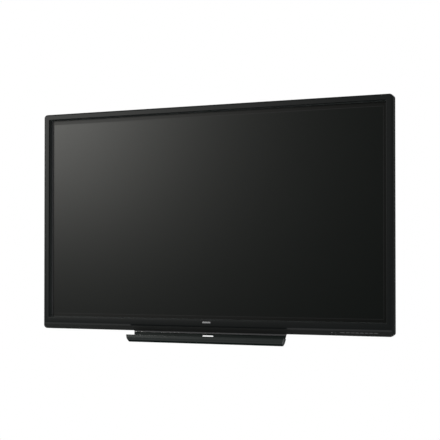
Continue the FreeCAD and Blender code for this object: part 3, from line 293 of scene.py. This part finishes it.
def finish(name, colour, roughness, spread=0.08, dust=0.02, metallic=0.0, specular=0.5,
           scale=900.0, pits=0.6, height=0.00003, radius=0.0, wear=0.5, worn=(0.08, 0.08, 0.085)):
    """A finish with uneven gloss, dust, a moulded or rolled grain, and rubbed edges.

    The colour is a colour, or a function that works one out in the material's tree.
    """
    material = bpy.data.materials.new(name)
    material.use_nodes = True
    tree = material.node_tree
    shader = tree.nodes["Principled BSDF"]
    shader.inputs["Metallic"].default_value = metallic
    shader.inputs["Specular IOR Level"].default_value = specular
    surface = placed(tree, handled, Roughness=roughness, Spread=spread, Dust=dust)
    if isinstance(colour, tuple):
        surface.inputs["Color"].default_value = (*colour, 1.0)
    else:
        tree.links.new(colour(tree), surface.inputs["Color"])
    relief = tree.nodes.new("ShaderNodeBump")
    relief.inputs["Distance"].default_value = height
    bumps = placed(tree, grain, Scale=scale, Pits=pits)
    tree.links.new(bumps.outputs["Height"], relief.inputs["Height"])
    shade = surface.outputs["Color"]
    if radius:
        rubbed = placed(tree, edges, Radius=radius, Wear=wear)
        tree.links.new(rubbed.outputs["Normal"], relief.inputs["Normal"])
        shade = tint(tree, rubbed.outputs["Edge"], shade, worn)
    tree.links.new(shade, shader.inputs["Base Color"])
    tree.links.new(surface.outputs["Roughness"], shader.inputs["Roughness"])
    tree.links.new(relief.outputs["Normal"], shader.inputs["Normal"])
    return material


def along(tree, axis="Z"):
    """The surface point's own X, Y or Z."""
    split = tree.nodes.new("ShaderNodeSeparateXYZ")
    place = tree.nodes.new("ShaderNodeTexCoord").outputs["Object"]
    tree.links.new(place, split.inputs["Vector"])
    return split.outputs[axis]


def band(tree, value, low, high, soft):
    """One between two levels, falling to nought over a soft width outside them."""
    rise = arithmetic(tree, "MULTIPLY_ADD", value, 1 / soft, 1 - low / soft)
    fall = arithmetic(tree, "MULTIPLY_ADD", value, -1 / soft, 1 + high / soft)
    least = arithmetic(tree, "MINIMUM", rise, fall)
    return arithmetic(tree, "MAXIMUM", arithmetic(tree, "MINIMUM", least, 1.0), 0.0)


# The parts come as loose triangles. A modifier joins their edges and shades as smooth
# whatever turns by less than 30 degrees, and a second keeps large flat faces flat beside
# their rounded edges. The parts' own meshes stay as they are.
JOIN_WITHIN = 0.000005
GENTLE_TURN = math.radians(30)
rounds = bpy.data.node_groups.new("soft_rounds", "GeometryNodeTree")
for way in ("INPUT", "OUTPUT"):
    rounds.interface.new_socket("Geometry", in_out=way, socket_type="NodeSocketGeometry")
joined = rounds.nodes.new("GeometryNodeMergeByDistance")
joined.inputs["Distance"].default_value = JOIN_WITHIN
gentle = rounds.nodes.new("FunctionNodeCompare")
gentle.operation = "LESS_THAN"
gentle.inputs["B"].default_value = GENTLE_TURN
rounds.links.new(rounds.nodes.new("GeometryNodeInputMeshEdgeAngle").outputs["Unsigned Angle"],
                 gentle.inputs["A"])
rounds.links.new(rounds.nodes.new("NodeGroupInput").outputs["Geometry"],
                 joined.inputs["Geometry"])
shape = joined.outputs["Geometry"]
for domain in ("FACE", "EDGE"):
    shading = rounds.nodes.new("GeometryNodeSetShadeSmooth")
    shading.domain = domain
    rounds.links.new(shape, shading.inputs["Geometry"])
    if domain == "EDGE":
        rounds.links.new(gentle.outputs["Result"], shading.inputs["Shade Smooth"])
    shape = shading.outputs["Geometry"]
rounds.links.new(shape, rounds.nodes.new("NodeGroupOutput").inputs["Geometry"])


def dress(material, *names):
    """Gives a finish to parts that keep their own shape."""
    for name in names:
        part = nodes[name]
        if not part.material_slots:
            part.data.materials.append(material)
        for slot in part.material_slots:
            slot.material = material
        rounder = part.modifiers.new("soft_rounds", "NODES")
        rounder.node_group = rounds
        steady = part.modifiers.new("flat_faces", "WEIGHTED_NORMAL")
        steady.keep_sharp = True


def rail_black_and_painted_light(tree):
    """The moulding's black, painted paler low on the chin and on the matt side walls as painted
    light.
    """
    chin_light_mask = band(tree, along(tree), -BEYOND, STRIP_LOW, STRIP_SOFT)
    front = tint(tree, chin_light_mask, RAIL_BLACK, CHIN_PAINTED_LIGHT)
    outward = arithmetic(tree, "ABSOLUTE", along(tree, "X"))
    return tint(tree, band(tree, outward, SIDE_START, BEYOND, SIDE_SOFT), front, SIDE_PAINTED_LIGHT)


moulding = finish("black_moulding", rail_black_and_painted_light, roughness=0.52, spread=0.05, dust=0.006,
                  specular=0.04, scale=1400.0, height=0.00001, radius=0.0014, wear=0.03,
                  worn=RUBBED_BLACK)
moulding_tree = moulding.node_tree
moulding_shader = moulding_tree.nodes["Principled BSDF"]
moulding_shader.inputs["Coat Roughness"].default_value = 0.12
aside = arithmetic(moulding_tree, "ABSOLUTE", along(moulding_tree, "X"))
polished = arithmetic(
    moulding_tree, "MULTIPLY", band(moulding_tree, aside, -BEYOND, STRIP_END, STRIP_FADE),
    band(moulding_tree, along(moulding_tree), STRIP_LOW, STRIP_TOP, STRIP_SOFT))
unworn = arithmetic(moulding_tree, "MULTIPLY", polished,
                    band(moulding_tree, aside, TRAY_REACH, BEYOND, TRAY_FADE))
moulding_tree.links.new(arithmetic(moulding_tree, "MULTIPLY", unworn, STRIP_GLOSS),
                        moulding_shader.inputs["Coat Weight"])
rim = arithmetic(moulding_tree, "GREATER_THAN", aside, RIM_START)
moulding_gloss = moulding_shader.inputs["Roughness"].links[0].from_socket
duller = arithmetic(moulding_tree, "MULTIPLY_ADD", rim, RIM_MATT, moulding_gloss)
moulding_tree.links.new(arithmetic(moulding_tree, "MULTIPLY_ADD", polished, STRIP_SMOOTH, duller),
                        moulding_shader.inputs["Roughness"])
dress(moulding, "front_bezel")

# Blank inlay: a thin anodised bar, cemented flat in the middle of the lower rail's upper
# face. It carries nothing.
RAIL_FACE_Y = -0.1
INLAY_Z = -0.4496
INLAY_WIDE = 0.038
INLAY_HIGH = 0.0066
LAST_RING = 0.6


def plate(origin, across, up, out, wide, high, corner, thick, edge, count=48):
    """A thin plate with round corners and a rolled edge, as rings round its middle.

    A ring's point lies at a corner's centre plus its radius along the ring's angle. The
    rings step in from the edge by the inset, and out from the base by the height.
    """
    angle = (np.arange(count) + 0.5) * 2 * np.pi / count
    turn = np.linspace(0.0, np.pi / 2, 4)
    inset = np.concatenate(([0.0], edge * (1 - np.cos(turn)), [corner * LAST_RING]))
    height = np.concatenate(([0.0], thick - edge + edge * np.sin(turn), [thick]))
    radius = corner - inset[:, None]
    x = np.sign(np.cos(angle)) * (wide / 2 - corner) + radius * np.cos(angle)
    z = np.sign(np.sin(angle)) * (high / 2 - corner) + radius * np.sin(angle)
    flat = np.stack([x, z, np.broadcast_to(height[:, None], x.shape)], axis=-1).reshape(-1, 3)
    points = np.array(origin, dtype=float) + flat @ np.array([across, up, out], dtype=float)
    first = np.arange(count)
    after = (first + 1) % count
    quads = [np.stack([first + ring * count, after + ring * count,
                       after + (ring + 1) * count, first + (ring + 1) * count], axis=1)
             for ring in range(len(inset) - 1)]
    faces = [tuple(quad) for quad in np.concatenate(quads)]
    last = len(points) - count
    return points, faces + [tuple(range(last, last + count)), tuple(range(count - 1, -1, -1))]


def piece(name, shapes, material, body="display", sharp_from=40):
    """One scene piece from several lists of points and faces, on a body."""
    faces, start = [], 0
    for some_points, some_faces in shapes:
        faces += [tuple(int(index) + start for index in face) for face in some_faces]
        start += len(some_points)
    mesh = bpy.data.meshes.new(name)
    mesh.from_pydata(np.concatenate([some[0] for some in shapes]).tolist(), [], faces)
    mesh.shade_smooth()
    mesh.set_sharp_from_angle(angle=math.radians(sharp_from))
    mesh.materials.append(material)
    thing = bpy.data.objects.new(name, mesh)
    bpy.context.scene.collection.objects.link(thing)
    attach(thing, body)


anodised = finish("anodised_bar", (0.095, 0.096, 0.099), roughness=0.34, spread=0.1, dust=0.0,
                  metallic=1.0, scale=2200.0, pits=0.1, height=0.000004)
piece("blank_inlay", [plate((0, RAIL_FACE_Y, INLAY_Z), (1, 0, 0), (0, 0, 1), (0, -1, 0),
                            INLAY_WIDE, INLAY_HIGH, corner=0.0012, thick=0.0004,
                            edge=0.00025)], anodised)

# Key marks: plain bars printed in pale grey on the polished face above each key. The
# keys and the status light's frosted end reach down under the bezel beside them.
CREASE = -0.46505
CHIN_HIGH = 0.027
CHIN_BACK = 0.01
MARK_DROP = 0.0138
MARK_HIGH = 0.0034
MARK_WIDE = (0.0185, 0.0145, 0.0165, 0.0145, 0.0155, 0.0145, 0.0155, 0.0165)
lean = math.atan2(CHIN_BACK, CHIN_HIGH)
chin_up = (0.0, -math.sin(lean), math.cos(lean))
chin_out = (0.0, -math.cos(lean), -math.sin(lean))
mark_y = RAIL_FACE_Y + MARK_DROP * CHIN_BACK / CHIN_HIGH
printed = finish("printed_mark", (0.075, 0.076, 0.078), roughness=0.55, spread=0.1, dust=0.0,
                 specular=0.2, scale=3000.0, height=0.000004)
marks = []
for number, wide in enumerate(MARK_WIDE, start=1):
    low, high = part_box(f"key_{number}")
    base = ((low[0] + high[0]) / 2, mark_y, CREASE - MARK_DROP)
    marks.append(plate(base, (1, 0, 0), chin_up, chin_out, wide, MARK_HIGH, corner=0.0006,
                       thick=0.00006, edge=0.00003, count=24))
piece("key_marks", marks, printed)
dress(moulding, *[f"key_{number}" for number in range(1, len(MARK_WIDE) + 1)])
dress(finish("frosted_acrylic", (0.17, 0.18, 0.18), roughness=0.5, spread=0.1, dust=0.0,
             scale=1800.0, height=0.00001), "status_light_pipe")

# Touch window: dark polished strips, clear to infrared light alone, that wall in the
# screen. Their grey is painted paler than their own dark, as painted light for the light
# their walls catch in the recess. The sensor boards and their emitters stand behind them.
dress(finish("infrared_window", (0.039, 0.044, 0.043), roughness=0.2, spread=0.05, dust=0.006,
             specular=0.12, scale=500.0, height=0.000004),
      "touch_window_frame", "remote_sensor_window")

# Protective glass: etched against glare, with a black border printed on its rear and a
# pale hair line where the panel's frame shows, its paleness a painted highlight on the
# frame's edge, and a grey strip at the foot of the left wall, a painted reflection of the
# light there. Behind it the switched-off panel is a warm dark grey.
PANEL_GREY = (0.0022, 0.0034, 0.0028)
BORDER_BLACK = (0.0002, 0.0008, 0.0005)
# Painted highlight: the pale hair line along the frame's edge.
FRAME_GLINT_GREY = (0.013, 0.0135, 0.0135)
# Painted reflection: the grey strip at the foot of the left wall.
LEFT_SHEEN_GREY = (0.07, 0.072, 0.074)
PANEL_LAP = 0.007
GLINT_WIDE = 0.0024
SHEEN_END = -0.7752
BORDER_MATT = 0.09
screen_low, screen_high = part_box("lcd_panel")
glass = bpy.data.materials.new("etched_glass")
glass.use_nodes = True
glass_tree = glass.node_tree
glass_shader = glass_tree.nodes["Principled BSDF"]
past = []
for axis, place in (("X", 0), ("Z", 2)):
    middle = float(screen_high[place] + screen_low[place]) / 2
    half = float(screen_high[place] - screen_low[place]) / 2 - PANEL_LAP
    offset = arithmetic(glass_tree, "SUBTRACT", along(glass_tree, axis), middle)
    distance = arithmetic(glass_tree, "ABSOLUTE", offset)
    past.append(arithmetic(glass_tree, "SUBTRACT", distance, half))
outside = arithmetic(glass_tree, "MAXIMUM", *past)
border = arithmetic(glass_tree, "GREATER_THAN", outside, 0.0)
frame_glint = arithmetic(glass_tree, "MULTIPLY", border,
                  arithmetic(glass_tree, "LESS_THAN", outside, GLINT_WIDE))
# Left of this the glass is painted grey as a painted reflection.
painted_sheen = arithmetic(glass_tree, "LESS_THAN", along(glass_tree, "X"), SHEEN_END)
shade = tint(glass_tree, border, PANEL_GREY, BORDER_BLACK)
shade = tint(glass_tree, frame_glint, shade, FRAME_GLINT_GREY)
shade = tint(glass_tree, painted_sheen, shade, LEFT_SHEEN_GREY)
coating = placed(glass_tree, handled, Roughness=0.385, Spread=0.025, Dust=0.0)
glass_tree.links.new(shade, coating.inputs["Color"])
glass_tree.links.new(coating.outputs["Color"], glass_shader.inputs["Base Color"])
glass_tree.links.new(
    arithmetic(glass_tree, "MULTIPLY_ADD", border, BORDER_MATT, coating.outputs["Roughness"]),
    glass_shader.inputs["Roughness"])
glass_shader.inputs["Specular IOR Level"].default_value = 0.038
etching = glass_tree.nodes.new("ShaderNodeBump")
etching.inputs["Distance"].default_value = 0.000003
glass_tree.links.new(noise(glass_tree, scale=2600.0), etching.inputs["Height"])
glass_tree.links.new(etching.outputs["Normal"], glass_shader.inputs["Normal"])
dress(glass, "protective_glass")

# Pen tray: one glossy black extruded channel with a moulded plate on each end, screwed up
# under the bezel. Its shoulder and front lip are polished, the lip more so towards its
# foot, and the channel between is matt from the pens. The shoulder's paler grey is a
# painted highlight.
TRAY_BLACK = (0.0025, 0.0066, 0.0056)
# Painted highlight on the tray's shoulder.
SHOULDER_HIGHLIGHT_GREY = (0.055, 0.056, 0.058)
ABOVE_TRAY = 0.0
SHOULDER_LOW = -0.4988
SHOULDER_SOFT = 0.0008
LIP_FRONT = -0.139
LIP_FRONT_SOFT = 0.002
LIP_LOW = -0.5285
LIP_LOW_SOFT = 0.003
LIP_GAIN = -18.0
LIP_START = -8.93


def tray_black_and_highlight(tree):
    """The tray's black, with a painted highlight on its shoulder."""
    return tint(tree, band(tree, along(tree), SHOULDER_LOW, ABOVE_TRAY, SHOULDER_SOFT),
                TRAY_BLACK, SHOULDER_HIGHLIGHT_GREY)


tray_skin = finish("tray_moulding", tray_black_and_highlight, roughness=0.5, spread=0.06, dust=0.006,
                   specular=0.015, scale=800.0, height=0.000008, radius=0.0012, wear=0.3,
                   worn=RUBBED_BLACK)
tray_tree = tray_skin.node_tree
tray_shader = tray_tree.nodes["Principled BSDF"]
tray_shader.inputs["Coat Roughness"].default_value = 0.16
shoulder = band(tray_tree, along(tray_tree), SHOULDER_LOW, ABOVE_TRAY, SHOULDER_SOFT)
lip = arithmetic(tray_tree, "MULTIPLY",
                 band(tray_tree, along(tray_tree), LIP_LOW, ABOVE_TRAY, LIP_LOW_SOFT),
                 band(tray_tree, along(tray_tree, "Y"), -BEYOND, LIP_FRONT, LIP_FRONT_SOFT))
deepening = arithmetic(tray_tree, "MULTIPLY_ADD", along(tray_tree), LIP_GAIN, LIP_START)
lip = arithmetic(tray_tree, "MULTIPLY", lip, deepening)
tray_tree.links.new(arithmetic(tray_tree, "MAXIMUM", shoulder, lip),
                    tray_shader.inputs["Coat Weight"])
dress(tray_skin, "tray_body", "tray_end_left", "tray_end_right")

# Rear cover: pressed steel sheet with a fine black powder coat, slotted for air and for
# the speakers. The carry handles are bent rod in the same coat, worn bright where held.
dress(finish("powder_coat", (0.014, 0.0142, 0.015), roughness=0.5, spread=0.12, dust=0.03,
             specular=0.35, scale=1100.0, pits=1.0, height=0.00005, radius=0.0015, wear=0.6,
             worn=(0.07, 0.07, 0.075)), "rear_cover")
dress(finish("handle_coat", (0.011, 0.011, 0.0115), roughness=0.34, spread=0.16, dust=0.02,
             specular=0.45, scale=700.0, height=0.00003, radius=0.001, wear=0.8,
             worn=(0.12, 0.12, 0.125)), "carry_handles")

# Rating label: a silver polyester film label on the cover, ruled but left blank, which
# sticks flat beside the wall mount.
LABEL_SILVER = (0.46, 0.465, 0.47)
LABEL_INK = (0.02, 0.02, 0.02)
LABEL_X = -0.42
LABEL_Z = -0.12
LABEL_WIDE = 0.11
LABEL_HIGH = 0.07
FRAME_FROM = 0.915
FRAME_TO = 0.925
FRAME_SOFT = 0.004
RULE_EVERY = 0.008
RULE_HALF = 0.0002


def ruled(tree):
    """Silver with a printed frame near the edge, and rules inside it."""
    sideways = arithmetic(tree, "SUBTRACT", along(tree, "X"), LABEL_X)
    down = arithmetic(tree, "SUBTRACT", along(tree), LABEL_Z)
    reach = arithmetic(tree, "MAXIMUM",
                       arithmetic(tree, "MULTIPLY", arithmetic(tree, "ABSOLUTE", sideways),
                                  2 / LABEL_WIDE),
                       arithmetic(tree, "MULTIPLY", arithmetic(tree, "ABSOLUTE", down),
                                  2 / LABEL_HIGH))
    outline = band(tree, reach, FRAME_FROM, FRAME_TO, FRAME_SOFT)
    rule = arithmetic(tree, "LESS_THAN", arithmetic(tree, "PINGPONG", down, RULE_EVERY / 2),
                      RULE_HALF)
    inner = arithmetic(tree, "MULTIPLY", rule, arithmetic(tree, "LESS_THAN", reach, FRAME_FROM))
    return tint(tree, arithmetic(tree, "MAXIMUM", outline, inner), LABEL_SILVER, LABEL_INK)


cover_face = float(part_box("rear_cover")[1][1])
piece("rating_label", [plate((LABEL_X, cover_face, LABEL_Z), (-1, 0, 0), (0, 0, 1), (0, 1, 0),
                             LABEL_WIDE, LABEL_HIGH, corner=0.003, thick=0.00015,
                             edge=0.00005, count=64)],
      finish("label_film", ruled, roughness=0.36, spread=0.12, dust=0.0, metallic=0.4,
             scale=1500.0, height=0.000005))

# Screws: pan heads in black oxide round the cover's edge, in the bezel's brackets and
# under the tray.
dress(finish("black_oxide", (0.02, 0.02, 0.021), roughness=0.36, spread=0.15, metallic=0.7,
             scale=2000.0, height=0.000006),
      "rear_cover_screws", "bracket_screws", "tray_screws")

# Mounting and frames: hat-section rails, turned bosses and folded sheet in zinc-plated
# steel. The rails and bosses stand through the cover and take the wall mount's bolts.
ZINC_DARK = (0.5, 0.51, 0.53)
ZINC_PALE = (0.68, 0.69, 0.7)
CRYSTAL_SCALE = 160.0


def spangle(tree):
    """Zinc's flat crystals, each a slightly different grey."""
    cells = tree.nodes.new("ShaderNodeTexVoronoi")
    cells.inputs["Scale"].default_value = CRYSTAL_SCALE
    tree.links.new(tree.nodes.new("ShaderNodeTexCoord").outputs["Object"], cells.inputs["Vector"])
    split = tree.nodes.new("ShaderNodeSeparateColor")
    tree.links.new(cells.outputs["Color"], split.inputs["Color"])
    return tint(tree, split.outputs["Red"], ZINC_DARK, ZINC_PALE)


dress(finish("zinc_plate", spangle, roughness=0.34, spread=0.2, metallic=1.0, scale=400.0,
             height=0.00001, radius=0.0006, wear=0.4, worn=(0.8, 0.8, 0.8)),
      "mounting_rail_left", "mounting_rail_right", "mounting_bosses", "back_chassis",
      "panel_front_frame", "bezel_brackets", "board_spacers", "handle_nuts", "terminal_panel")

# Terminals: nickel-plated socket shells, the moulded mains inlet, and the power switch
# with its rocker, set through the zinc strip of the cover's well.
dress(finish("nickel_shell", (0.62, 0.6, 0.56), roughness=0.24, spread=0.15, metallic=1.0,
             scale=1500.0, height=0.000006, radius=0.0003, wear=0.4, worn=(0.8, 0.78, 0.74)),
      "terminal_sockets")
dress(finish("moulded_plastic", (0.016, 0.016, 0.017), roughness=0.38, spread=0.1,
             specular=0.45, scale=1200.0, height=0.00001, radius=0.0004, wear=0.3),
      "power_inlet", "switch_housing", "switch_rocker")

# Fans: frames and rotors moulded in black glass-filled plastic. The frames lie flat
# against the inside of the cover, and the rotors turn on pins behind its grilles.
dress(finish("fan_plastic", (0.018, 0.018, 0.018), roughness=0.46, spread=0.12, dust=0.1,
             specular=0.4, scale=900.0, height=0.00002, radius=0.0005, wear=0.2),
      "fan_frame_left", "fan_frame_right", "fan_rotor_left", "fan_rotor_right")

# Circuit boards: green solder mask over copper tracks, with their parts in one finish,
# seen through the vents. Bright aluminium fins cool the main board.
MASK_GREEN = (0.012, 0.085, 0.035)
TRACK_GREEN = (0.04, 0.17, 0.07)
TRACK_SCALE = 260.0
TRACK_FROM = 0.32
TRACK_TO = 0.42
TRACK_SOFT = 0.05


def tracks(tree):
    """Tracks as the outer parts of square-sided cells under the mask."""
    cells = tree.nodes.new("ShaderNodeTexVoronoi")
    cells.distance = "MANHATTAN"
    cells.inputs["Scale"].default_value = TRACK_SCALE
    tree.links.new(tree.nodes.new("ShaderNodeTexCoord").outputs["Object"], cells.inputs["Vector"])
    near = band(tree, cells.outputs["Distance"], TRACK_FROM, TRACK_TO, TRACK_SOFT)
    return tint(tree, near, MASK_GREEN, TRACK_GREEN)


dress(finish("solder_mask", tracks, roughness=0.3, spread=0.1, dust=0.06, scale=700.0,
             height=0.00002),
      "touch_sensor_boards", "power_supply_board", "led_driver_board", "timing_board",
      "main_board", "touch_controller_board", "panel_edge_boards", "key_board")
dress(finish("dark_epoxy", (0.02, 0.018, 0.022), roughness=0.25, scale=600.0, height=0.00001),
      "touch_emitters")
dress(finish("led_bar", (0.7, 0.7, 0.62), roughness=0.4, scale=500.0, height=0.00002),
      "backlight_led_bars")
dress(finish("aluminium_fins", (0.78, 0.78, 0.8), roughness=0.32, spread=0.2, dust=0.06,
             metallic=1.0, scale=300.0, pits=0.1, height=0.00002), "main_heat_sink")

# Speakers and panel stack: grey moulded boxes, and the panel's frame, films and seal,
# which stay inside.
dress(finish("speaker_box", (0.03, 0.03, 0.032), roughness=0.5, spread=0.12, scale=800.0),
      "speaker_left", "speaker_right", "panel_middle_frame")
dress(finish("white_film", (0.85, 0.86, 0.86), roughness=0.5, scale=300.0, height=0.00001),
      "optical_films", "reflector_sheet", "light_guide")
dress(finish("sealing_foam", (0.02, 0.02, 0.02), roughness=0.85, scale=1500.0, pits=1.5,
             height=0.0002), "glass_gasket")
dress(finish("panel_film", (0.006, 0.006, 0.006), roughness=0.3, scale=900.0, height=0.000005),
      "lcd_panel")
